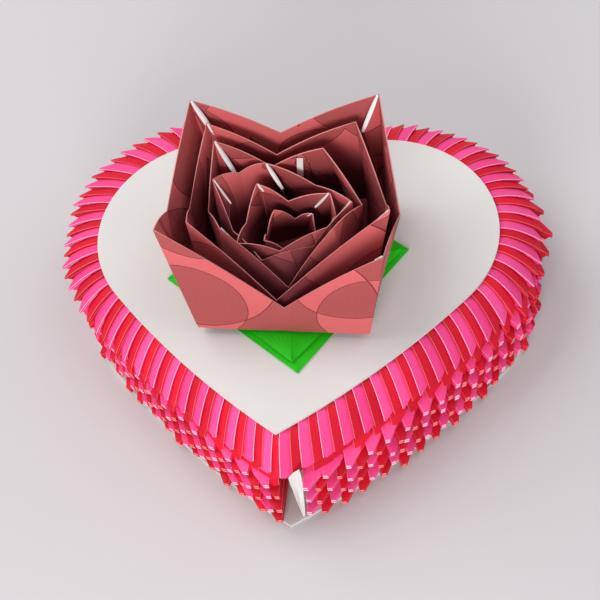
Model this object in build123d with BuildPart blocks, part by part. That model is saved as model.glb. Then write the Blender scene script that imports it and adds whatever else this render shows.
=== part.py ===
from build123d import *
import math
import os

# A heart-shaped paper box. The wall is a card strip with folded paper units in
# pink and red standing out from it, and the lift-off lid carries a ring of the
# same units and a paper rose. Millimetres, +Z up, the heart's tip towards -Y.

# ---- the heart: two lobe arcs, and two side arcs tangent to them ----
lobe_radius = 50.0
lobe_spacing = 70.0
side_radius = 376.0
side_start = 40.0

# ---- card ----
base_card = 1.5
base_rim = 13.0
wall_card = 1.2
wall_inset = 8.0
plate_card = 1.2
plate_shift = -2.5
collar_card = 1.2
collar_depth = 7.0
plate_top = 47.2
corner_card = 0.8
corner_drop = 4.5
corner_leg = 5.5
corner_angle = 34.0
corner_inset = 4.0
corner_shift = 2.0

# ---- folded paper units ----
unit_thickness = 2.9
unit_lean = 12.0
tip_lean = 20.0
first_column = 6.0
last_column = 8.0
band_reach_lobe = 18.5
band_reach_tip = 14.5
band_depth = 5.0
band_drop = 12.5
band_end = 0.6
band_low = 0.95
blade_reach_lobe = 15.0
blade_reach_tip = 13.0
blade_card = 3.0
blade_slope = 8.0
red_levels = 4
pink_levels = 3

# ---- calyx and rose ----
rose_x = -1.6
rose_y = -18.0
rose_turn = -2.5
calyx_x = -4.5
calyx_y = -17.4
calyx_card = 1.6
calyx_front = 3.5
calyx_reach = {"calyx_lower": (15.0, 8.0), "calyx_upper": (12.5, 12.0)}
rose_card = 0.8
rose_layers = 6
outer_base = 35.5
rose_flare = 3.5
rose_height = 60.0
front_dip = 18.0
side_dip = 34.0
back_dip = 40.0
layer_step = 5.4
layer_turn = 3.0
height_step = 4.2
dip_share = 0.12

# ---- clearances ----
lid_clearance = 0.3
collar_clearance = 0.6
seat_clearance = 0.3
row_clearance = 0.4
cleft_clearance = 0.8
unit_clearance = 0.27
blade_clearance = 0.3

lobe_x = lobe_spacing / 2
start_angle = math.radians(side_start)
side_x = lobe_x + (lobe_radius - side_radius) * math.cos(start_angle)
side_y = (side_radius - lobe_radius) * math.sin(start_angle)
cleft_lean = math.radians(unit_lean)


def tip_y(grow):
    # where the two side arcs, offset by grow, meet in front
    return side_y - math.sqrt((side_radius + grow) ** 2 - side_x**2)


# the heart is moved along Y so that the box stands centred on the origin
lobe_y = -(tip_y(base_rim) + lobe_radius + band_reach_lobe * math.cos(cleft_lean)) / 2

# columns of units stand as close as their roots on the tightly bent lobes allow
lobe_length = lobe_radius * (math.acos(-lobe_x / lobe_radius) + start_angle)
tip_angle = math.atan2(tip_y(0) - side_y, -side_x)
edge_length = lobe_length + side_radius * (-start_angle - tip_angle)
columns_length = edge_length - first_column - last_column
lobe_end_lean = math.radians(unit_lean + tip_lean * lobe_length / edge_length)
root_share = (lobe_radius - wall_inset) / lobe_radius * math.cos(lobe_end_lean)
columns = 1 + int(columns_length * root_share / (unit_thickness + unit_clearance))

# every second column carries the same colour, so a row's blades are two steps apart
row_step = 2 * columns_length / (columns - 1)
blade_root = row_step * root_share - blade_clearance
blade_width = row_step * math.cos(math.radians(unit_lean + tip_lean)) - blade_clearance
plate_bottom = plate_top - plate_card


def heart_points(grow):
    # the right half's corner points and arc middles, from the cleft to the tip
    lobe = lobe_radius + grow
    side = side_radius + grow
    cleft_angle = math.acos(-lobe_x / lobe)
    lobe_middle = (cleft_angle - start_angle) / 2
    tip_angle = math.atan2(tip_y(grow) - side_y, -side_x)
    side_middle = (tip_angle - start_angle) / 2
    on_lobe = lambda a: (lobe_x + lobe * math.cos(a), lobe_y + lobe * math.sin(a))
    on_side = lambda a: (side_x + side * math.cos(a), lobe_y + side_y + side * math.sin(a))
    return (
        on_lobe(cleft_angle),
        on_lobe(lobe_middle),
        on_lobe(-start_angle),
        on_side(side_middle),
        on_side(tip_angle),
    )


def heart(grow):
    # the heart's face, offset outwards by grow
    cleft, lobe_middle, shoulder, side_middle, tip = heart_points(grow)
    with BuildSketch() as face:
        with BuildLine():
            ThreePointArc(cleft, lobe_middle, shoulder)
            ThreePointArc(shoulder, side_middle, tip)
            mirror(about=Plane.YZ)
        make_face()
    return face.sketch


def heart_strip(grow, card):
    # the outline of a card strip bent to the heart, its outer face at grow
    with BuildSketch() as strip:
        add(heart(grow))
        add(heart(grow - card), mode=Mode.SUBTRACT)
    return strip.sketch


def column_place(index):
    # a column's point on the plate's edge, and the way its units point
    along = first_column + columns_length * index / (columns - 1)
    if along < lobe_length:
        angle = math.acos(-lobe_x / lobe_radius) - along / lobe_radius
        x = lobe_x + lobe_radius * math.cos(angle)
        y = lobe_y + lobe_radius * math.sin(angle)
    else:
        angle = -start_angle - (along - lobe_length) / side_radius
        x = side_x + side_radius * math.cos(angle)
        y = lobe_y + side_y + side_radius * math.sin(angle)
    return x, y, angle - math.radians(unit_lean + tip_lean * along / edge_length)


def column_plane(index, side):
    # upright plane in the middle of one column's units, X outwards and Y up
    x, y, heading = column_place(index)
    out = (side * math.cos(heading), math.sin(heading), 0)
    across = (math.sin(heading), -side * math.cos(heading), 0)
    return Plane(origin=(side * x, y, 0), x_dir=out, z_dir=across)


def column_reach(index, lobe_reach, tip_reach):
    # units beside the cleft are folded shorter, so the two lobes stay apart
    x, y, heading = column_place(index)
    reach = lobe_reach + (tip_reach - lobe_reach) * index / (columns - 1)
    sideways = -math.cos(heading)
    if sideways <= 0:
        return reach
    room = x - cleft_clearance - unit_thickness / 2 * math.sin(heading)
    return min(reach, room / sideways)


def column_root(index):
    # how far behind the plate's edge a unit starts, just clear of the wall
    along = first_column + columns_length * index / (columns - 1)
    lean = math.radians(unit_lean + tip_lean * along / edge_length)
    return (wall_inset - seat_clearance - unit_thickness / 2 * math.sin(lean)) / math.cos(lean)


def band_size(index):
    # a lid unit's length, from behind the wall's card on whose top it rests, and its
    # drop: the short ones beside the cleft drop less
    seat = column_root(index) + wall_card
    full = band_reach_lobe + (band_reach_tip - band_reach_lobe) * index / (columns - 1)
    length = seat + column_reach(index, band_reach_lobe, band_reach_tip)
    return length, band_drop * length / (seat + full)


def band(index, side):
    # one folded unit of the lid's ring, arched out and down over the wall
    length, drop = band_size(index)
    profile = (
        (0, 0),
        (0, band_depth),
        (band_low, drop),
        (1, drop - band_end),
        (band_low, drop * 0.62),
        (0.74, drop * 0.22),
        (0.42, 0),
    )
    start = -column_root(index) - wall_card
    points = [(start + x * length, plate_bottom - z) for x, z in profile]
    with BuildPart() as piece:
        with BuildSketch(column_plane(index, side)):
            with BuildLine():
                Polyline(*points, close=True)
            make_face()
        extrude(amount=unit_thickness / 2, both=True)
    return piece.part


def blade(index, side, height):
    # one folded unit of the wall: a flat blade cut at 45 degrees, its point in
    # front, sloping down to the given height of its underside
    x, y, heading = column_place(index)
    slope = math.radians(blade_slope)
    reach = column_reach(index, blade_reach_lobe, blade_reach_tip)
    out = Vector(side * math.cos(heading), math.sin(heading), -math.tan(slope))
    normal = Vector(side * math.cos(heading), math.sin(heading), 1 / math.tan(slope))
    root = -column_root(index)
    front = side * unit_thickness / 2
    origin = (side * x, y, height + reach * math.sin(slope))
    with BuildPart() as piece:
        with BuildSketch(Plane(origin=origin, x_dir=out, z_dir=normal)):
            with BuildLine():
                Polyline(
                    (root, -front),
                    (reach, -front),
                    (reach - blade_width, side * blade_width - front),
                    (root, side * blade_root - front),
                    close=True,
                )
            make_face()
        extrude(amount=blade_card)
    return piece.part


def column_numbers(side, colour):
    # pink and red take turns round the heart, and both sides differ at the tip
    odd = (side > 0) == (colour == "pink")
    return range(1 if odd else 0, columns, 2)


def save(piece, name):
    piece.label = name
    export_step(piece, f"parts/{name}.step")


os.makedirs("parts", exist_ok=True)
sides = {"left": -1, "right": 1}

# Base card, a little larger than the lid, and cut with a sharp tip
with BuildPart() as base_plate:
    with BuildSketch(Plane.XY):
        add(heart(base_rim))
    extrude(amount=base_card)
save(base_plate.part, "base_plate")

# The lid's units rest on the wall's top, and their undersides fall away over it
band_sizes = [band_size(index) for index in range(columns)]
band_slope = max((drop - band_depth) / (band_low * length) for length, drop in band_sizes)
wall_top = plate_bottom - band_depth - wall_card * band_slope - lid_clearance

# Inner wall: two bent card strips that meet at the cleft and at the tip
with BuildPart() as wall_ring:
    with BuildSketch(Plane.XY.offset(base_card)):
        add(heart_strip(-wall_inset, wall_card))
    extrude(amount=wall_top - base_card)
for side_name, side in sides.items():
    with BuildPart() as inner_wall:
        add(wall_ring.part)
        split(bisect_by=Plane.YZ, keep=Keep.TOP if side > 0 else Keep.BOTTOM)
    save(inner_wall.part, f"inner_wall_{side_name}")

# Corner card: a strip folded once, which closes the gap between the wall's ends
fold_y = lobe_y + tip_y(base_rim) + corner_inset
leg_x = corner_leg * math.sin(math.radians(corner_angle))
leg_y = corner_leg * math.cos(math.radians(corner_angle))
fold_back = corner_card / math.sin(math.radians(corner_angle))
with BuildPart() as front_corner_card:
    with BuildSketch(Plane(origin=(corner_shift, fold_y, base_card))):
        with BuildLine():
            Polyline(
                (0, 0),
                (leg_x, leg_y),
                (leg_x, leg_y + fold_back),
                (0, fold_back),
                (-leg_x, leg_y + fold_back),
                (-leg_x, leg_y),
                close=True,
            )
        make_face()
    extrude(amount=wall_top - corner_drop - base_card)
save(front_corner_card.part, "front_corner_card")

# Wall units: folded blades in rows, red and pink rows half a row apart. Beside
# the cleft they are cut off, so that the two lobes stay apart
top_level = plate_bottom - band_drop - row_clearance - blade_card
level_pitch = (top_level - base_card - row_clearance) / (red_levels - 1)
for side_name, side in sides.items():
    for colour, levels, drop in (("red", red_levels, 0), ("pink", pink_levels, level_pitch / 2)):
        for level in range(levels):
            height = top_level - drop - level * level_pitch
            with BuildPart() as row:
                for index in column_numbers(side, colour):
                    add(blade(index, side, height))
                split(
                    bisect_by=Plane.YZ.offset(side * cleft_clearance),
                    keep=Keep.TOP if side > 0 else Keep.BOTTOM,
                )
            save(row.part, f"wall_units_{side_name}_{colour}_{level + 1}")

# Lid plate: one flat card heart, glued a little to one side
with BuildPart() as lid_plate:
    with BuildSketch(Plane(origin=(plate_shift, 0, plate_bottom))):
        add(heart(0))
    extrude(amount=plate_card)
save(lid_plate.part, "lid_plate")

# Lid collar: a card strip under the plate that drops inside the wall
collar_outer = -wall_inset - wall_card - collar_clearance
with BuildPart() as lid_collar:
    with BuildSketch(Plane.XY.offset(plate_bottom - collar_depth)):
        add(heart_strip(collar_outer, collar_card))
    extrude(amount=collar_depth)
save(lid_collar.part, "lid_collar")

# Lid units: the top ring of folded units, glued under the plate
for side_name, side in sides.items():
    for colour in ("pink", "red"):
        with BuildPart() as ring:
            for index in column_numbers(side, colour):
                add(band(index, side))
        save(ring.part, f"lid_units_{side_name}_{colour}")


def turned_plane(x, y, height, turn):
    # level plane over a point given from the lobes' centres, turned about it
    angle = math.radians(turn)
    turned = (math.cos(angle), math.sin(angle), 0)
    return Plane(origin=(x, lobe_y + y, height), x_dir=turned, z_dir=(0, 0, 1))


# Calyx: two green folded squares whose corners show from under the rose
calyx_height = plate_top
for name, (reach, turn) in calyx_reach.items():
    corner = outer_base + reach
    with BuildPart() as calyx:
        with BuildSketch(turned_plane(calyx_x, calyx_y, calyx_height, turn)):
            with BuildLine():
                Polyline(
                    (corner, 0),
                    (0, corner),
                    (-corner, 0),
                    (0, -corner - calyx_front),
                    close=True,
                )
            make_face()
        extrude(amount=calyx_card)
    save(calyx.part, name)
    calyx_height += calyx_card

# Rose: square folded cups, one inside the other, each with four peaked corners
side_dips = (front_dip, side_dip, back_dip, side_dip)
for layer in range(rose_layers):
    turn = rose_turn + layer * layer_turn
    floor_z = calyx_height + layer * rose_card
    base_half = outer_base - layer * layer_step
    top_half = base_half + rose_flare
    peak = rose_height - layer * height_step
    peak_z = calyx_height + peak
    with BuildPart() as cup:
        with BuildSketch(turned_plane(rose_x, rose_y, floor_z, turn)):
            Rectangle(2 * base_half, 2 * base_half)
        with BuildSketch(turned_plane(rose_x, rose_y, peak_z, turn)):
            Rectangle(2 * top_half, 2 * top_half)
        loft(ruled=True)
        with BuildSketch(turned_plane(rose_x, rose_y, floor_z + rose_card, turn)):
            Rectangle(2 * (base_half - rose_card), 2 * (base_half - rose_card))
        with BuildSketch(turned_plane(rose_x, rose_y, peak_z + rose_card, turn)):
            Rectangle(2 * (top_half - rose_card), 2 * (top_half - rose_card))
        loft(ruled=True, mode=Mode.SUBTRACT)
        for quarter, side_depth in enumerate(side_dips):
            flat = turned_plane(rose_x, rose_y, calyx_height, turn + 90 * quarter)
            upright = Plane(origin=flat.origin, x_dir=flat.x_dir, z_dir=-flat.y_dir)
            dip = side_depth - (side_depth - front_dip / 2) * dip_share * layer
            with BuildSketch(upright):
                with BuildLine():
                    Polyline(
                        (0, dip),
                        (2 * top_half, 2 * peak - dip),
                        (-2 * top_half, 2 * peak - dip),
                        close=True,
                    )
                make_face()
            extrude(amount=2 * top_half, mode=Mode.SUBTRACT)
    save(cup.part, f"rose_layer_{layer + 1}")
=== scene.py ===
import math
import random

import bmesh
import bpy
from mathutils import Matrix, Vector


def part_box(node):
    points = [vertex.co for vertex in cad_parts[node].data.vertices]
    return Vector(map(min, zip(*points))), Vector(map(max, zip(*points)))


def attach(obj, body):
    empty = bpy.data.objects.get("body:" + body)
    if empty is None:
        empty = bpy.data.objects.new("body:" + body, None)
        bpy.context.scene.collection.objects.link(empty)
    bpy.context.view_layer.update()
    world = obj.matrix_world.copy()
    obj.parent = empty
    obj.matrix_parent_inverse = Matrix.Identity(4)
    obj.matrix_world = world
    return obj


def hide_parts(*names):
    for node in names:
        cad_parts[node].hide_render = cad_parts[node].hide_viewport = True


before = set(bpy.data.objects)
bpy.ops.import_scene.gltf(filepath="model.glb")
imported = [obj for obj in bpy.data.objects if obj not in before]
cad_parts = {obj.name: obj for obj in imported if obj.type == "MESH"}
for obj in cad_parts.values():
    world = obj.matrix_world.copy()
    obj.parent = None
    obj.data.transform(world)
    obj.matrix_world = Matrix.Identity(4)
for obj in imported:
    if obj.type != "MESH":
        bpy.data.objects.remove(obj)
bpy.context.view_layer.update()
mm = 0.001


# ---------------------------------------------------------------- card
# The box stands on a flat card heart, and bent card strips make its wall and the
# lid's collar. All of it is cut from white craft card, smooth with a faint tooth.


class Link:
    """A shader socket, so that Python's operators add the Math nodes."""

    def __init__(self, finish, socket):
        self.finish = finish
        self.socket = socket

    def math(self, operation, *others):
        values = dict(enumerate((self, *others)))
        return self.finish.node("Math", {"operation": operation}, values)

    def __add__(self, other):
        return self.math("ADD", other)

    def __sub__(self, other):
        return self.math("SUBTRACT", other)

    def __rsub__(self, other):
        return self.finish.node("Math", {"operation": "SUBTRACT"}, {0: other, 1: self})

    def __mul__(self, other):
        return self.math("MULTIPLY", other)

    def __gt__(self, other):
        return self.math("GREATER_THAN", other)

    def __lt__(self, other):
        return self.math("LESS_THAN", other)

    __radd__ = __add__
    __rmul__ = __mul__


class Finish:
    """One procedural material: its shader, and the one method that adds any other node."""

    def __init__(self, name, roughness):
        self.material = bpy.data.materials.new(name)
        self.material.use_nodes = True
        self.tree = self.material.node_tree
        self.shader = self.tree.nodes["Principled BSDF"]
        self.shader.inputs["Roughness"].default_value = roughness
        self.shader.inputs["Specular IOR Level"].default_value = 0.25

    def node(self, kind, settings, values, output=0):
        node = self.tree.nodes.new("ShaderNode" + kind)
        for key, value in settings.items():
            if key == "stops":
                ramp = node.color_ramp
                for element, (place, colour) in zip(ramp.elements, value):
                    element.position = place
                    element.color = colour
                for place, colour in value[len(ramp.elements) :]:
                    ramp.elements.new(place).color = colour
            else:
                setattr(node, key, value)
        for key, value in values.items():
            if isinstance(value, Link):
                self.tree.links.new(value.socket, node.inputs[key])
            else:
                node.inputs[key].default_value = value
        return Link(self, node.outputs[output])

    def place(self):
        return self.node("TexCoord", {}, {}, "Object")

    def noise(self, vector, scale, detail=3.0):
        return self.node("TexNoise", {}, {"Vector": vector, "Scale": scale, "Detail": detail})

    def mix(self, factor, a, b, how="MIX"):
        settings = {"data_type": "RGBA", "blend_type": how}
        return self.node("Mix", settings, {"Factor": factor, 6: a, 7: b}, 2)

    def paint(self, socket, value):
        self.tree.links.new(value.socket, self.shader.inputs[socket])

    def bump(self, height, depth, strength=1.0):
        values = {"Height": height, "Distance": depth, "Strength": strength}
        self.paint("Normal", self.node("Bump", {}, values))


def card_finish(name, white, dull):
    card = Finish(name, 0.62)
    place = card.place()
    cloud = card.noise(place, 22.0)
    fibre = card.noise(place, 1900.0, 2.0)
    card.paint("Base Color", card.mix(cloud, white, dull))
    card.bump(fibre, 0.00006, 0.35)
    return card.material


white_card = card_finish("white card", (0.70, 0.69, 0.665, 1), (0.655, 0.645, 0.62, 1))
wall_card = card_finish("wall card", (0.80, 0.79, 0.78, 1), (0.72, 0.71, 0.70, 1))


def recoat(node, material):
    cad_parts[node].data.materials.clear()
    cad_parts[node].data.materials.append(material)


for node in ("base_plate", "lid_plate", "lid_collar"):
    recoat(node, white_card)
for node in ("inner_wall_left", "inner_wall_right"):
    recoat(node, wall_card)

# ---------------------------------------------------------------- corner card
# A narrow strip of thin card stands in the gap where the two walls meet at the tip.
# It is folded lengthways and crumpled, and pinched to a point at its foot and head.


def plain_copy(thing, name):
    """The thing with its modifiers made into a plain mesh, as a new object."""
    graph = bpy.context.evaluated_depsgraph_get()
    mesh = bpy.data.meshes.new_from_object(thing.evaluated_get(graph))
    piece = bpy.data.objects.new(name, mesh)
    bpy.context.collection.objects.link(piece)
    return piece


def sheet_piece(name, grids, materials, thickness):
    """Joins grids of points, each with its flat places, into one sheet with a thickness.

    The materials are the sheet's own and, where there is a second, its cut edge's."""
    build = bmesh.new()
    uv = build.loops.layers.uv.new("sheet")
    for grid, flat in grids:
        verts = [[build.verts.new(Vector(p) * mm) for p in line] for line in grid]
        for i in range(len(grid) - 1):
            for j in range(len(grid[0]) - 1):
                spots = ((i, j), (i + 1, j), (i + 1, j + 1), (i, j + 1))
                face = build.faces.new([verts[a][b] for a, b in spots])
                for loop, (a, b) in zip(face.loops, spots):
                    loop[uv].uv = flat[a][b]
    bmesh.ops.remove_doubles(build, verts=build.verts[:], dist=0.00002)
    bmesh.ops.recalc_face_normals(build, faces=build.faces[:])
    mesh = bpy.data.meshes.new(name)
    build.to_mesh(mesh)
    build.free()
    for material in materials:
        mesh.materials.append(material)
    sheet = bpy.data.objects.new(name, mesh)
    bpy.context.collection.objects.link(sheet)
    solid = sheet.modifiers.new("paper", "SOLIDIFY")
    solid.thickness = thickness * mm
    solid.offset = 0.0
    solid.material_offset_rim = len(materials) - 1
    piece = plain_copy(sheet, name)
    bpy.data.objects.remove(sheet)
    return piece


leaf_low, leaf_high = (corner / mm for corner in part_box("front_corner_card"))
leaf_x = (leaf_low.x + leaf_high.x) / 2
leaf_y = leaf_low.y + 0.5
leaf_height = leaf_high.z + 2.5 - leaf_low.z
leaf_thickness = 0.35
# up the leaf: share of its height, left and right edge from the middle, depth of its crease
leaf_edges = (
    (0.0, 2.6, 3.3, 0.2),
    (0.15, 2.2, 3.9, 0.9),
    (0.35, 1.4, 4.4, 1.9),
    (0.55, 0.8, 4.8, 2.4),
    (0.72, 0.2, 5.1, 2.4),
    (0.82, -0.2, 5.2, 2.0),
    (0.92, 1.8, 5.2, 0.8),
    (1.0, 4.6, 5.0, 0.1),
)
# across the leaf: share of its width, share of the crease's depth
leaf_crease = ((0.0, 0.0), (0.25, 0.5), (0.5, 1.0), (0.62, 0.9), (0.8, 0.2), (1.0, 0.1))
crumple = random.Random(5)
leaf = []
for share, left_edge, right_edge, hollow in leaf_edges:
    line = []
    for across, depth in leaf_crease:
        x = leaf_x + left_edge + (right_edge - left_edge) * across + crumple.uniform(-0.15, 0.15)
        y = leaf_y + hollow * depth + crumple.uniform(-0.2, 0.2)
        line.append(Vector((x, y, leaf_low.z + leaf_height * share)))
    leaf.append(line)
leaf_flat = [[(p.x * mm, p.z * mm) for p in line] for line in leaf]
corner_leaf = sheet_piece("corner_leaf", [(leaf, leaf_flat)], [wall_card], leaf_thickness)
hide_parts("front_corner_card")
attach(corner_leaf, "box")

# ---------------------------------------------------------------- the heart's line
# Columns of folded units stand side by side round the heart: two lobe arcs, and
# two side arcs tangent to them, from the cleft to the tip. Each side has its own run.

lobe_radius = 50.0
lobe_x = 35.0
side_radius = 376.0
side_start = math.radians(40.0)
base_rim = 13.0
lobe_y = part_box("base_plate")[1].y / mm - lobe_radius - base_rim
side_x = lobe_x + (lobe_radius - side_radius) * math.cos(side_start)
side_y = (side_radius - lobe_radius) * math.sin(side_start)
tip_turn = -math.acos(-side_x / side_radius)
lobe_turn = math.acos(-lobe_x / lobe_radius)
lobe_length = lobe_radius * (lobe_turn + side_start)
heart_length = lobe_length + side_radius * (-side_start - tip_turn)
plate_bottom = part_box("lid_plate")[0].z / mm
columns = 58


def heart_at(along):
    """Point and outward heading on the right half of the plate's edge, from the cleft on."""
    if along < lobe_length:
        angle = lobe_turn - along / lobe_radius
        return lobe_x + lobe_radius * math.cos(angle), lobe_y + lobe_radius * math.sin(angle), angle
    angle = -side_start - (along - lobe_length) / side_radius
    x = side_x + side_radius * math.cos(angle)
    return x, lobe_y + side_y + side_radius * math.sin(angle), angle


# ---------------------------------------------------------------- coloured paper
# The units are folded from craft paper dyed through, pink or red. Cut edges and
# the ends of the folds show pale, partly as pale paper and partly as a painted
# highlight, and no two sheets have quite the same tone.


def dyed_paper(name, colour, deep, pale):
    paper = Finish(name, 0.58)
    place = paper.place()
    tone = paper.node("Attribute", {"attribute_name": "tone"}, {}, "Fac")
    edge = paper.node("Attribute", {"attribute_name": "pale"}, {}, "Fac")
    fibre = paper.noise(place, 1500.0, 2.0)
    cloud = paper.noise(place, 160.0, 2.0)
    sheet = paper.mix(tone * 0.75 + cloud * 0.25, deep, colour)
    # the pale attribute paints cut edges, front lines and ends paler: partly pale paper, partly a painted
    # highlight
    paper.paint("Base Color", paper.mix(edge, sheet, pale))
    paper.bump(fibre, 0.00005, 0.4)
    return paper.material


# each paper's colour, its deepest tone, and its pale cut edge, which is also the painted highlight's
# colour
pink_tones = ((1.0, 0.100, 0.34, 1), (0.90, 0.050, 0.24, 1), (1.0, 0.70, 0.86, 1))
red_tones = ((0.80, 0.008, 0.035, 1), (0.58, 0.005, 0.022, 1), (0.95, 0.33, 0.30, 1))
papers = {"pink": dyed_paper("pink paper", *pink_tones), "red": dyed_paper("red paper", *red_tones)}


# width of the pale line along a fold's front edge, partly pale paper and partly a painted highlight
line_width = 0.22


def leg_sections(arch, front, width, blunt, thick, lift, drop):
    """Cross-sections of a unit's leg along its arch, which is (outwards, up) from root to point.

    The front edge is lifted and the rear edge lowered, and the end is cut at 45 degrees.
    Each corner is (outwards, forwards, up, slope), the slope to be used where units lean."""
    passed = [0.0]
    for (x0, z0), (x1, z1) in zip(arch, arch[1:]):
        passed.append(passed[-1] + math.hypot(x1 - x0, z1 - z0))
    sections = []
    for number, (x, z) in enumerate(arch):
        x0, z0 = arch[max(0, number - 1)]
        x1, z1 = arch[min(len(arch) - 1, number + 1)]
        run = math.hypot(x1 - x0, z1 - z0)
        over_x, over_z = -(z1 - z0) / run, (x1 - x0) / run
        slope = (z0 - z1) / (x1 - x0)
        span = min(width, blunt + passed[-1] - passed[number])
        tilt = lift * span / width
        line = min(line_width, span / 3)
        spots = (
            (front, lift - 0.1),
            (front - line, lift),
            (front - span / 2, lift - tilt + 0.15),
            (front - span, lift - 2 * tilt),
            (front - span, lift - 2 * tilt - thick),
            (front, lift - thick),
        )
        section = []
        for f, rise in spots:
            section.append((x + over_x * rise, f, z + over_z * rise - drop, slope * f))
        sections.append(section)
    return sections


def folded_unit(name, legs, side, line_pale_and_highlight, end_pale_and_highlight):
    """A folded unit from its legs, which are (sections, how pale the cut face is painted, as pale paper
    and painted highlight).

    The front edge's line and the blunt point show pale too, partly as a painted highlight.
    What each vert gives is how much of a place's shift it takes: sideways at the root only, and up by its
    slope."""
    mesh = bpy.data.meshes.new(name)
    build = bmesh.new()
    give = build.verts.layers.float_vector.new("give")
    marks = {}
    for sections, cut_pale_and_highlight in legs:
        rings = []
        for number, section in enumerate(sections):
            root = 1.0 if number == 0 else 0.0
            ring = []
            for x, f, z, slope in section:
                vert = build.verts.new((x * mm, -side * f * mm, z * mm))
                vert[give] = (root, root, slope * mm)
                ring.append(vert)
            rings.append(ring)
        rails = len(sections[0])
        for step in range(len(rings) - 1):
            tapers = abs(sections[step][3][1] - sections[step + 1][3][1]) > 0.05
            near, far = rings[step], rings[step + 1]
            for rail in range(rails):
                after = (rail + 1) % rails
                corners = (near[rail], near[after], far[after], far[rail])
                # the front edge's line is painted pale, partly for the paper's edge and partly as a
                # painted highlight
                pale = line_pale_and_highlight if rail == 0 else 0.0
                # painted highlight: the tapered cut face is painted paler, partly for the pale cut paper
                # and partly for the light on it
                if rail == 3 and tapers:
                    pale = cut_pale_and_highlight
                marks[build.faces.new(corners)] = pale
        marks[build.faces.new(rings[0])] = 0.0
        # the blunt end is painted pale, partly for the cut paper and partly as a painted highlight
        marks[build.faces.new(rings[-1])] = end_pale_and_highlight
    bmesh.ops.recalc_face_normals(build, faces=build.faces[:])
    layer = build.loops.layers.float.new("pale")
    for face, value in marks.items():
        for loop in face.loops:
            loop[layer] = value
    build.to_mesh(mesh)
    build.free()
    thing = bpy.data.objects.new(name, mesh)
    bpy.context.collection.objects.link(thing)
    return thing


def scatter_tree():
    """Geometry Nodes: one folded unit on each point, a little out of line, as one mesh."""
    tree = bpy.data.node_groups.new("units on the wall", "GeometryNodeTree")
    make = tree.interface.new_socket
    inputs = {"Geometry": "Geometry", "Unit": "Object", "Paper": "Material"}
    inputs.update({"Seed": "Int", "Loose": "Float", "Growth": "Float"})
    for name, kind in inputs.items():
        make(name, in_out="INPUT", socket_type="NodeSocket" + kind)
    make("Geometry", in_out="OUTPUT", socket_type="NodeSocketGeometry")

    def add(kind, settings, values):
        node = tree.nodes.new(kind)
        for key, value in settings.items():
            setattr(node, key, value)
        for key, value in values.items():
            if isinstance(value, bpy.types.NodeSocket):
                tree.links.new(value, node.inputs[key])
            else:
                node.inputs[key].default_value = value
        return node.outputs

    def stored(name):
        return add("GeometryNodeInputNamedAttribute", {"data_type": "FLOAT_VECTOR"}, {"Name": name})[0]

    def either_way(seed):
        values = {0: (-1, -1, -1), 1: (1, 1, 1), "Seed": seed}
        return add("FunctionNodeRandomValue", {"data_type": "FLOAT_VECTOR"}, values)[0]

    def vector(operation, a, b):
        return add("ShaderNodeVectorMath", {"operation": operation}, {0: a, 1: b})[0]

    def scaled(a, scale):
        return add("ShaderNodeVectorMath", {"operation": "SCALE"}, {0: a, "Scale": scale})[0]

    sizes = add("NodeGroupInput", {}, {})
    unit = add("GeometryNodeObjectInfo", {}, {"Object": sizes["Unit"]})
    swing = scaled(either_way(sizes["Seed"]), sizes["Loose"])
    other_seed = add("ShaderNodeMath", {"operation": "ADD"}, {0: sizes["Seed"], 1: 7.0})
    change = scaled(either_way(other_seed[0]), sizes["Growth"])
    values = {
        "Points": sizes["Geometry"],
        "Instance": unit["Geometry"],
        "Rotation": vector("ADD", stored("facing"), swing),
        "Scale": vector("MULTIPLY", stored("stretch"), vector("ADD", change, (1, 1, 1))),
    }
    row = add("GeometryNodeInstanceOnPoints", {}, values)
    tone = add("FunctionNodeRandomValue", {"data_type": "FLOAT"}, {2: 0.0, 3: 1.0, "Seed": sizes["Seed"]})
    toned = add(
        "GeometryNodeStoreNamedAttribute",
        {"data_type": "FLOAT", "domain": "INSTANCE"},
        {"Geometry": row[0], "Name": "tone", "Value": tone[1]},
    )
    real = add("GeometryNodeRealizeInstances", {}, {"Geometry": toned[0]})
    # a stretched unit keeps its root on the wall, and where it leans its bend stays level
    offset = vector("MULTIPLY", stored("give"), stored("shift"))
    bent = add("GeometryNodeSetPosition", {}, {"Geometry": real[0], "Offset": offset})
    done = add("GeometryNodeSetMaterial", {}, {"Geometry": bent[0], "Material": sizes["Paper"]})
    add("NodeGroupOutput", {}, {"Geometry": done[0]})
    return tree


unit_rows = scatter_tree()


def set_units(name, places, unit, paper, seed, loose, growth):
    """Sets one unit on each place, which is (point, facing, stretch, shift), as a plain mesh."""
    mesh = bpy.data.meshes.new(name + "_points")
    mesh.from_pydata([entry[0] for entry in places], [], [])
    for key, column in (("facing", 1), ("stretch", 2), ("shift", 3)):
        layer = mesh.attributes.new(key, "FLOAT_VECTOR", "POINT")
        for index, entry in enumerate(places):
            layer.data[index].vector = entry[column]
    points = bpy.data.objects.new(name + "_points", mesh)
    bpy.context.collection.objects.link(points)
    modifier = points.modifiers.new("units", "NODES")
    modifier.node_group = unit_rows
    inputs = {"Unit": unit, "Paper": paper, "Seed": seed, "Loose": loose, "Growth": growth}
    for key, value in inputs.items():
        modifier[unit_rows.interface.items_tree[key].identifier] = value
    piece = plain_copy(points, name)
    points.modifiers.clear()
    bpy.data.objects.remove(points)
    return piece


# ---------------------------------------------------------------- lid units
# The ring under the lid's edge: each unit is a strip folded over on itself, arched
# out and down, glued by its root under the plate. The next one towards the tip
# tucks under its front edge, and its end is cut slantwise.

unit_root = -7.4
unit_front = 1.5
band_width = 6.2
band_end = 15.0
band_fall = 12.6
band_level = -1.0


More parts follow.
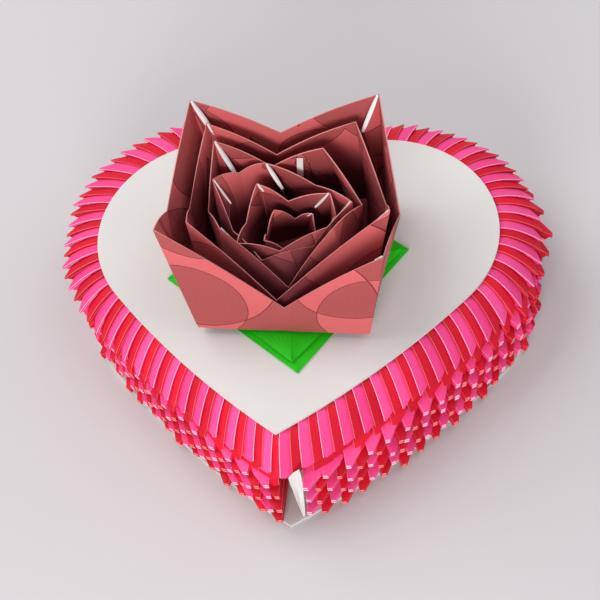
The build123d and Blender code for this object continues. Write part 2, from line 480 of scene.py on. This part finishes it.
def arch_line(root, level, end, fall, bend, steps):
    """Points (outwards, up) of a leg that runs level, then curves down to its point."""
    points = [(root, 0.0), ((root + level) / 2, 0.0)]
    for step in range(steps + 1):
        share = step / steps
        points.append((level + (end - level) * share, -fall * share**bend))
    return points


def stood(along, side, lean, stretch, fall, height):
    """A place for one unit: its point on the heart's line, how it faces, its stretch and its shift."""
    x, y, heading = heart_at(along)
    turn = heading - lean if side > 0 else math.pi - heading + lean
    point = Vector((side * x * mm, y * mm, height * mm))
    back = unit_root * (1 - stretch) * mm
    shift = (math.cos(turn) * back, math.sin(turn) * back, math.tan(lean) * fall / stretch)
    return point, (0.0, 0.0, turn), (stretch, 1.0, fall), shift


def between(share, stops):
    """Straight lines through (place, value) stops."""
    for (a, low), (b, high) in zip(stops, stops[1:]):
        if share <= b:
            return low + (high - low) * (share - a) / (b - a)
    return stops[-1][1]


# the left side is -1 and the right side 1; stops are (share of the way to the tip, value)
# units lean towards the tip, and most of all near it, in degrees
left_lean = ((0.0, 11.0), (0.2, 18.0), (0.3, 19.0), (0.38, 12.0), (0.46, 1.0), (0.52, -3.0))
left_lean += ((0.6, 5.0), (0.7, 12.0), (0.8, 17.0), (0.9, 23.0), (1.0, 34.0))
right_lean = ((0.0, 11.0), (0.3, 11.0), (0.45, 7.0), (0.6, 9.0), (0.75, 13.0))
right_lean += ((0.82, 17.0), (0.9, 23.0), (1.0, 34.0))
unit_lean = {-1: left_lean, 1: right_lean}
# how far the bands reach out of the heart's line, and what share of their fall they keep
left_reach = ((0.0, 6.0), (0.08, 14.0), (0.18, 20.0), (0.28, 22.0), (0.36, 22.0), (0.42, 19.8))
left_reach += ((0.5, 18.9), (0.58, 15.5), (0.75, 14.0), (1.0, 13.0))
right_reach = ((0.0, 6.0), (0.08, 14.0), (0.15, 16.0), (0.3, 16.5), (0.42, 15.6))
right_reach += ((0.5, 14.8), (0.58, 12.8), (1.0, 12.5))
band_reach = {-1: left_reach, 1: right_reach}
band_drop = {
    -1: ((0.0, 0.4), (0.35, 0.5), (0.5, 0.8), (0.6, 1.0), (1.0, 1.0)),
    1: ((0.0, 0.5), (0.3, 0.55), (0.42, 0.65), (0.5, 0.8), (0.65, 0.95), (1.0, 1.0)),
}
band_arch = arch_line(unit_root, band_level, band_end, band_fall, 1.75, 13)
lower_arch = arch_line(unit_root, -2.0, band_end - 1.2, band_fall - 0.6, 1.7, 9)
band_lower = leg_sections(lower_arch, unit_front - 0.5, band_width - 0.6, 1.2, 3.0, 0.85, 1.35)
band_blunt = {-1: 1.7, 1: 0.8}
band_hang = 0.9
# the red bands sit a little further back and in, so that more of the pink shows
band_front = {"pink": unit_front, "red": unit_front - 0.35}
band_share = {"pink": 1.0, "red": 0.985}
# how pale each band's front line is painted, partly as a painted highlight
band_line_pale_and_highlight = {"pink": 0.7, "red": 0.4}
first_band = 4.0
last_band = {-1: 1.9, 1: 0.4}
for side_name, side in (("left", -1), ("right", 1)):
    band_pitch = (heart_length - first_band - last_band[side]) / (columns - 1)
    for colour, front in band_front.items():
        upper = leg_sections(band_arch, front, band_width, band_blunt[side], 0.85, 0.85, 0.0)
        legs = ((upper, 0.0), (band_lower, 0.0))
        band = folded_unit("band", legs, side, band_line_pale_and_highlight[colour], 0.35)
        odd = (side > 0) == (colour == "pink")
        places = []
        for index in range(1 if odd else 0, columns, 2):
            share = index / (columns - 1)
            reach = between(share, band_reach[side]) * band_share[colour] / band_end
            along = first_band + band_pitch * index
            fall = between(share, band_drop[side])
            lean = math.radians(between(share, unit_lean[side]))
            places.append(stood(along, side, lean, reach, fall, plate_bottom - band_hang))
        name = f"lid_ring_{side_name}_{colour}"
        ring = set_units(name, places, band, papers[colour], 11 + side, 0.02, 0.02)
        bpy.data.objects.remove(band)
        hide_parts(f"lid_units_{side_name}_{colour}")
        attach(ring, "lid")

# ---------------------------------------------------------------- wall units
# Below the lid the same folded units stand out of the wall in rows, each a flat
# double blade whose end is cut slantwise. Red rows and pink rows are half a row
# apart. The top red row arches down under the lid's ring and shows broad flanks.

blade_end = 14.0
blade_height = 5.65
blade_width = 8.0
flank_end = 15.0
flank_height = 6.6
blade_arch = arch_line(unit_root, -2.0, blade_end, 2.2, 1.2, 7)
blade_leg = leg_sections(blade_arch, unit_front, blade_width, 1.9, 3.4, 0.1, 0.0)
flank_arch = arch_line(unit_root, 2.0, flank_end, 8.0, 1.6, 12)
flank_leg = leg_sections(flank_arch, unit_front, blade_width, 1.8, 3.3, 0.25, 0.0)
# a thin ply shows as a line along the middle of each cut end
ply_arch = arch_line(unit_root, -2.0, blade_end - 0.05, 2.2, 1.2, 7)
ply_leg = leg_sections(ply_arch, unit_front - 0.05, blade_width + 0.1, 2.15, 0.3, 0.1, 1.45)
flank_ply_arch = arch_line(unit_root, 2.0, flank_end - 0.05, 8.0, 1.6, 12)
flank_ply = leg_sections(flank_ply_arch, unit_front - 0.05, blade_width + 0.1, 2.1, 0.3, 0.25, 1.45)

first_blade = 5.0
last_blade = {-1: 4.5, 1: 10.0}
blade_reach = {
    -1: ((0.0, 5.0), (0.08, 12.0), (0.3, 15.5), (0.45, 14.5), (0.6, 14.2), (0.85, 16.0), (1.0, 18.0)),
    1: ((0.0, 5.0), (0.08, 12.0), (0.3, 15.0), (0.45, 14.2), (0.6, 15.4), (0.8, 18.0), (1.0, 19.5)),
}
flank_reach = {
    -1: ((0.0, 6.0), (0.08, 12.0), (0.5, 15.0), (1.0, 14.5)),
    1: ((0.0, 6.0), (0.08, 14.0), (0.25, 20.5), (0.4, 20.5), (0.48, 17.0), (0.6, 14.2), (1.0, 14.0)),
}
rows = {"red": 4, "pink": 3}
for side_name, side in (("left", -1), ("right", 1)):
    blade_pitch = (heart_length - first_blade - last_blade[side]) / (columns - 1)
    for colour, count in rows.items():
        odd = (side > 0) == (colour == "pink")
        for row in range(count):
            node = f"wall_units_{side_name}_{colour}_{row + 1}"
            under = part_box(node)[0].z / mm
            flank = colour == "red" and row == 0
            # cut faces, front lines and blunt ends are painted pale, partly as a painted highlight
            if flank:
                legs = ((flank_leg, 0.05), (flank_ply, 0.4))
                blade = folded_unit("blade", legs, side, 0.30, 0.45)
            else:
                legs = ((blade_leg, 0.16), (ply_leg, 0.6))
                blade = folded_unit("blade", legs, side, 0.25, 0.9)
            places = []
            for index in range(1 if odd else 0, columns, 2):
                share = index / (columns - 1)
                if flank:
                    reach = between(share, flank_reach[side]) / flank_end
                    height = under + flank_height
                else:
                    reach = between(share, blade_reach[side]) / blade_end
                    height = under + blade_height
                along = first_blade + blade_pitch * index
                lean = math.radians(between(share, unit_lean[side]))
                places.append(stood(along, side, lean, reach, 1.0, height))
            name = f"wall_row_{side_name}_{colour}_{row + 1}"
            seed = 31 + 5 * row + side
            blades = set_units(name, places, blade, papers[colour], seed, 0.05, 0.05)
            bpy.data.objects.remove(blade)
            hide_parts(node)
            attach(blades, "box")

# ---------------------------------------------------------------- calyx
# Two squares of green paper, each folded to a shallow cup with four pointed flaps,
# lie crossed a few degrees apart between the lid and the rose.

lid_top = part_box("lid_plate")[1].z / mm
calyx_x = -4.5
calyx_y = lobe_y - 17.4

green = Finish("green paper", 0.55)
green_cloud = green.noise(green.place(), 60.0)
green_fibre = green.noise(green.place(), 1500.0, 2.0)
green.paint("Base Color", green.mix(green_cloud, (0.012, 0.44, 0.004, 1), (0.020, 0.58, 0.008, 1)))
green.bump(green_fibre, 0.00005, 0.4)


def calyx_grids(reaches, turn, low, rise):
    """Four flaps round the middle, each creased along its diagonal."""
    grids = []
    steps = 6
    middle = Vector((calyx_x, calyx_y, low))
    near = min(reaches)
    for quarter, reach in enumerate(reaches):
        angle = math.radians(turn + 90 * quarter)
        ahead = Vector((math.cos(angle), math.sin(angle), 0))
        across = Vector((-ahead.y, ahead.x, 0))
        for sign in (-1, 1):
            grid = []
            for i in range(steps + 1):
                out = i / steps
                line = []
                for j in range(steps + 1):
                    side_share = j / steps
                    width = near * (1 - out) * side_share
                    lift = rise * out**2 * (1 - 0.7 * side_share) + 0.4 * side_share * (1 - out)
                    upward = Vector((0, 0, lift))
                    line.append(middle + ahead * reach * out + across * sign * width + upward)
                grid.append(line)
            grids.append((grid, [[(p.x * mm, p.y * mm) for p in line] for line in grid]))
    return grids


# reaches go right, back, left, front
for node, reaches, turn, low, rise in (
    ("calyx_lower", (50.5, 50.5, 50.5, 54.5), 9.0, lid_top + 0.3, 0.8),
    ("calyx_upper", (47.0, 47.0, 47.5, 50.0), 7.0, lid_top + 1.1, 3.0),
):
    grids = calyx_grids(reaches, turn, low, rise)
    calyx = sheet_piece(node + "_flaps", grids, [green.material], 0.3)
    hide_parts(node)
    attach(calyx, "lid")

# ---------------------------------------------------------------- rose
# Six cups folded from squares of printed paper stand one inside the other. Each has
# four peaked corners, with a white turned edge down the inside of the corner, and
# dips between them. The print is overlapping discs in rose brown and coral, and
# painted shade darkens it towards each cup's foot.


# the print's layers of discs: how many to a metre, where they start, and their size
disc_layers = (
    (17.0, (0.3, 1.7, 0), 0.50),
    (13.0, (5.2, 0.4, 0), 0.52),
    (21.0, (2.1, 3.9, 0), 0.42),
)


def printed_paper(name, painted_shade, tall):
    """Printed paper with painted shade; the second argument is how much painted shade darkens the print
    from a cup's rim, at tall, to its foot.
    """
    paper = Finish(name, 0.66)
    sheet = paper.node("UVMap", {"uv_map": "sheet"}, {})
    settings = {"voronoi_dimensions": "2D", "feature": "F1"}
    discs = []
    lines = []
    for scale, shift, radius in disc_layers:
        values = {"Vector": sheet, "Location": shift, "Scale": (scale, scale, scale)}
        place = paper.node("Mapping", {}, values)
        values = {"Vector": place, "Scale": 1.0, "Randomness": 0.7}
        far = paper.node("TexVoronoi", settings, values)
        discs.append(far < radius)
        rim = (far - radius).math("ABSOLUTE")
        lines.append(rim < 0.0032)
    odd = (discs[0] - discs[1]).math("ABSOLUTE")
    odd = (odd - discs[2]).math("ABSOLUTE")
    line = lines[0].math("MAXIMUM", lines[1]).math("MAXIMUM", lines[2])
    grain = paper.noise(sheet, 1400.0, 3.0)
    cloud = paper.noise(sheet, 35.0, 2.0)
    brown = paper.mix(grain, (0.36, 0.062, 0.064, 1), (0.53, 0.110, 0.108, 1))
    coral = paper.mix(cloud, (0.66, 0.115, 0.120, 1), (0.76, 0.165, 0.165, 1))
    print_colour = paper.mix(odd, coral, brown)
    inked = paper.mix(line, print_colour, (0.20, 0.022, 0.030, 1))
    # painted shade: from the rim down to the foot the print is mixed towards a near-black maroon,
    # standing in for the shade inside the rose
    height = paper.node("SeparateXYZ", {}, {"Vector": sheet}, 1)
    depth = ((height * (-1.7 / tall)) + 1.65).math("MAXIMUM", 0.0).math("MINIMUM", 1.0)
    paper.paint("Base Color", paper.mix(depth * painted_shade, inked, (0.060, 0.0015, 0.006, 1)))
    paper.bump(paper.noise(paper.place(), 1300.0, 2.0), 0.00006, 0.4)
    return paper.material


rose_x = -1.6
rose_y = lobe_y - 18.0
pale_edge = card_finish("cut edge", (0.68, 0.27, 0.26, 1), (0.55, 0.19, 0.18, 1))
white_edge = card_finish("paper edge", (0.86, 0.84, 0.82, 1), (0.70, 0.68, 0.66, 1))
rose_floor = lid_top + 4.0
card_step = 0.8

# corners go front left, front right, back right, back left; dips go front, right, back, left
outer_cup = {
    "base": 35.0,
    "turn": -2.0,
    "peaks": ((-48.5, -20.0, 105.0), (40.5, -27.5, 98.0), (35.3, 45.5, 108.5), (-41.0, 43.5, 108.0)),
    "dips": ((-0.8, -30.0, 67.5), (44.0, 7.0, 80.0), (-6.0, 41.5, 90.0), (-51.0, 9.5, 79.0)),
}
second_cup = {
    "base": 30.5,
    "turn": 3.0,
    "peaks": ((-38.5, -8.5, 95.0), (42.0, -6.5, 100.0), (25.8, 38.5, 100.0), (-34.8, 38.0, 100.0)),
    "dips": ((-4.2, -26.0, 67.0), (38.5, 10.0, 82.0), (-7.5, 34.0, 85.0), (-42.5, 13.0, 76.0)),
}
third_cup = {
    "base": 25.5,
    "turn": 8.0,
    "peaks": ((-27.0, -4.0, 85.0), (18.5, -4.5, 86.0), (12.9, 29.0, 95.0), (-31.8, 32.5, 95.5)),
    "dips": ((-0.2, -19.0, 66.0), (28.5, 12.0, 80.0), (-9.0, 28.5, 84.0), (-35.0, 13.0, 74.0)),
}
# the fourth cup stands cornerwise in the third: its corners go left, front, right, back
fourth_cup = {
    "base": 19.0,
    "turn": -37.0,
    "peaks": ((-32.5, 20.3, 86.0), (-11.3, -9.3, 71.0), (24.8, 10.4, 84.0), (-11.0, 27.1, 88.0)),
    "dips": ((-24.0, 4.0, 73.0), (9.0, -3.0, 72.0), (9.0, 22.0, 80.0), (-22.0, 25.0, 84.5)),
}
fifth_cup = {
    "base": 13.5,
    "turn": -8.0,
    "peaks": ((-21.3, -4.5, 76.0), (16.5, 2.8, 78.0), (15.7, 14.6, 84.0), (-14.5, 19.6, 84.0)),
    "dips": ((-4.0, -6.0, 73.0), (18.0, 8.5, 77.0), (-2.3, 16.9, 76.0), (-19.0, 8.0, 73.0)),
}
sixth_cup = {
    "base": 8.0,
    "turn": 22.0,
    "peaks": ((-11.0, 0.0, 72.0), (7.0, 1.0, 72.0), (8.0, 12.0, 74.0), (-8.0, 14.0, 74.0)),
    "dips": ((-2.0, -2.0, 67.0), (9.0, 6.0, 67.0), (0.0, 14.0, 68.0), (-11.0, 7.0, 67.0)),
}
cups = (outer_cup, second_cup, third_cup, fourth_cup, fifth_cup, sixth_cup)

# how much painted shade darkens each cup's print at its foot, and its turned edges as (corner, length,
# width)
cup_painted_shade = (0.15, 0.80, 0.85, 0.88, 0.92, 0.95)
turned_edges = (
    ((3, 17.0, 2.2), (2, 17.0, 2.2), (1, 6.0, 1.1)),
    ((3, 4.0, 0.9), (1, 14.0, 1.1)),
    ((3, 17.0, 2.2), (0, 5.0, 0.9)),
    ((3, 13.0, 1.6), (2, 8.0, 1.2), (0, 12.0, 1.4)),
    ((2, 11.0, 1.8), (3, 4.0, 1.2), (1, 8.0, 1.1)),
    ((2, 3.0, 0.8),),
)
# one turned edge runs straight down the back of the third cup
straight_edge = (Vector((3.0, 28.3, 89.5)), Vector((1.5, 28.5, 73.0)), 2.6)


corner_signs = ((-1, -1), (1, -1), (1, 1), (-1, 1))


def base_point(cup, x, y, height):
    """A point of a cup's square base, where x and y run from -1 to 1."""
    turn = math.radians(cup["turn"])
    along_x = cup["base"] * (x * math.cos(turn) - y * math.sin(turn))
    along_y = cup["base"] * (x * math.sin(turn) + y * math.cos(turn))
    return Vector((rose_x + along_x, rose_y + along_y, height))


def cup_wall(cup, quarter, floor):
    """One side of a cup: its foot is straight and its top edge dips between two peaks."""
    across = 14
    up = 10
    foot_a = base_point(cup, *corner_signs[quarter], floor)
    foot_b = base_point(cup, *corner_signs[(quarter + 1) % 4], floor)
    peak_a = Vector(cup["peaks"][quarter])
    peak_b = Vector(cup["peaks"][(quarter + 1) % 4])
    dip = Vector(cup["dips"][quarter])
    outward = (foot_a + foot_b) / 2 - Vector((rose_x, rose_y, floor))
    outward.normalize()
    grid = []
    flat = []
    for i in range(across + 1):
        share = i / across
        foot = foot_a.lerp(foot_b, share)
        if share < 0.5:
            part = share * 2
            top = peak_a.lerp(dip, part)
        else:
            part = 2 - share * 2
            top = peak_b.lerp(dip, part)
        top.z += 1.6 * math.sin(part * math.pi)
        line = []
        spots = []
        for j in range(up + 1):
            height = j / up
            bulge = 1.4 * math.sin(height * math.pi) * math.sin(share * math.pi)
            point = foot.lerp(top, height) + outward * bulge
            line.append(point)
            run = (quarter + share) * 2 * cup["base"]
            spots.append((run * mm, (point.z - floor) * mm))
        grid.append(line)
        flat.append(spots)
    return grid, flat


def cup_floor(cup, floor):
    """A cup's flat square base."""
    shares = (-1.0, -0.5, 0.0, 0.5, 1.0)
    grid = [[base_point(cup, x, y, floor) for y in shares] for x in shares]
    return grid, [[(p.x * mm, p.y * mm) for p in line] for line in grid]


def corner_lines(cup, corner, floor, length):
    """A corner's fold line, and its gusset's free edge, which slants inwards from the peak."""
    peak = Vector(cup["peaks"][corner])
    foot = base_point(cup, *corner_signs[corner], floor + 0.5)
    inward = Vector((rose_x - peak.x, rose_y + 8.0 - peak.y, 0)).normalized()
    slant = ((foot - peak).normalized() * 0.85 + inward * 0.52).normalized()
    fold = [peak.lerp(foot, share / 10) for share in range(11)]
    corner_end = peak + slant * length
    free = [peak.lerp(corner_end, share / 5) for share in range(6)]
    free += [corner_end.lerp(foot, share / 5) for share in range(1, 6)]
    return fold, free, inward


def gusset(cup, corner, floor, length):
    """The paper folded in behind a corner, between the fold line and its free edge."""
    fold, free = corner_lines(cup, corner, floor, length)[:2]
    grid = [[a.lerp(b, 0.04), a.lerp(b, 0.5), b] for a, b in zip(fold, free)]
    return grid, [[(0.3 + p.x * mm, (p.z - floor) * mm) for p in line] for line in grid]


def edge_strip(cup, corner, floor, length, width):
    """The white turned edge along the top of a gusset's free edge: a narrow folded strip."""
    free, inward = corner_lines(cup, corner, floor, length)[1:]
    across = inward.cross(free[5] - free[0]).normalized() * width / 2
    grid = []
    for point, spread in zip(free, (0.45, 0.8, 1.0, 1.0, 0.9, 0.6)):
        spine = point + inward * 0.5
        ridge = spine + inward * 0.35
        crease = spine - across * 0.02
        grid.append([spine - across * spread, ridge, crease, ridge, spine + across * spread])
    return grid, [[(p.x * mm, p.z * mm) for p in line] for line in grid]


for number, cup in enumerate(cups):
    floor = rose_floor + card_step * number
    turned = turned_edges[number]
    grids = [cup_wall(cup, quarter, floor) for quarter in range(4)]
    grids.append(cup_floor(cup, floor))
    grids += [gusset(cup, corner, floor, length) for corner, length, width in turned]
    tall = (max(peak[2] for peak in cup["peaks"]) - floor) * mm
    paper = printed_paper(f"printed rose paper with painted shade {number + 1}", cup_painted_shade[number], tall)
    petals = sheet_piece(f"rose_cup_{number + 1}", grids, [paper, pale_edge], 0.45)
    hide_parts(f"rose_layer_{number + 1}")
    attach(petals, "lid")
    strips = [edge_strip(cup, corner, floor, length, width) for corner, length, width in turned]
    if cup is third_cup:
        top, bottom, width = straight_edge
        half = Vector((width / 2, 0, 0))
        spine = [top.lerp(bottom, share / 4) for share in range(5)]
        strip = [[point - half, point, point + half] for point in spine]
        strips.append((strip, [[(p.x * mm, p.z * mm) for p in line] for line in strip]))
    edges = sheet_piece(f"rose_edges_{number + 1}", strips, [white_edge], 0.3)
    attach(edges, "lid")

# ---------------------------------------------------------------- floor, light and camera
# A plain pale floor under soft studio light, seen from above the heart's tip.

floor_mesh = bpy.data.meshes.new("floor")
reach = 3.0
corners = ((-reach, -reach, 0), (reach, -reach, 0), (reach, reach, 0), (-reach, reach, 0))
floor_mesh.from_pydata(corners, [], [(0, 1, 2, 3)])
floor_sheet = bpy.data.objects.new("floor", floor_mesh)
bpy.context.collection.objects.link(floor_sheet)
backdrop = Finish("floor", 0.9)
backdrop.shader.inputs["Base Color"].default_value = (0.60, 0.580, 0.590, 1)
floor_mesh.materials.append(backdrop.material)


box_middle = Vector((0, 0, 0.03))


def soft_lamp(name, place, size, power, colour):
    light = bpy.data.lights.new(name, "AREA")
    light.size = size
    light.energy = power
    light.color = colour
    lamp = bpy.data.objects.new(name, light)
    lamp.location = place
    lamp.rotation_euler = (box_middle - Vector(place)).to_track_quat("-Z", "Y").to_euler()
    bpy.context.collection.objects.link(lamp)


soft_lamp("window", (-0.85, 0.38, 1.22), 1.3, 15.0, (1.0, 0.99, 0.98))
soft_lamp("room", (0.8, 0.30, 1.3), 1.4, 6.5, (0.95, 0.96, 1.0))
soft_lamp("front", (-0.05, -1.25, 0.48), 0.6, 12.5, (1.0, 0.98, 0.98))

world = bpy.data.worlds.new("studio")
world.use_nodes = True
world.node_tree.nodes["Background"].inputs["Color"].default_value = (0.93, 0.93, 0.97, 1)
world.node_tree.nodes["Background"].inputs["Strength"].default_value = 0.38
bpy.context.scene.world = world
bpy.context.scene.view_settings.view_transform = "Standard"

camera_height = math.radians(54.0)
camera_turn = math.radians(-13.0)
camera_roll = math.radians(10.2)
camera_distance = 0.812
view_width = 0.6 / 2.36
level = math.cos(camera_height)
looking = Vector((math.sin(camera_turn) * level, math.cos(camera_turn) * level, -math.sin(camera_height)))
level_right = Vector((math.cos(camera_turn), -math.sin(camera_turn), 0))
level_up = level_right.cross(looking)
right = level_right * math.cos(camera_roll) - level_up * math.sin(camera_roll)
up = level_right * math.sin(camera_roll) + level_up * math.cos(camera_roll)
aim = Vector((-0.0017, (lobe_y - 19.4) * mm, 0.025))
spot = aim - looking * camera_distance
lens = bpy.data.cameras.new("camera")
lens.lens = camera_distance / view_width * lens.sensor_width
camera = bpy.data.objects.new("camera", lens)
facing = Matrix((right, up, -looking)).transposed()
camera.matrix_world = Matrix.Translation(spot) @ facing.to_4x4()
bpy.context.collection.objects.link(camera)
bpy.context.scene.camera = camera
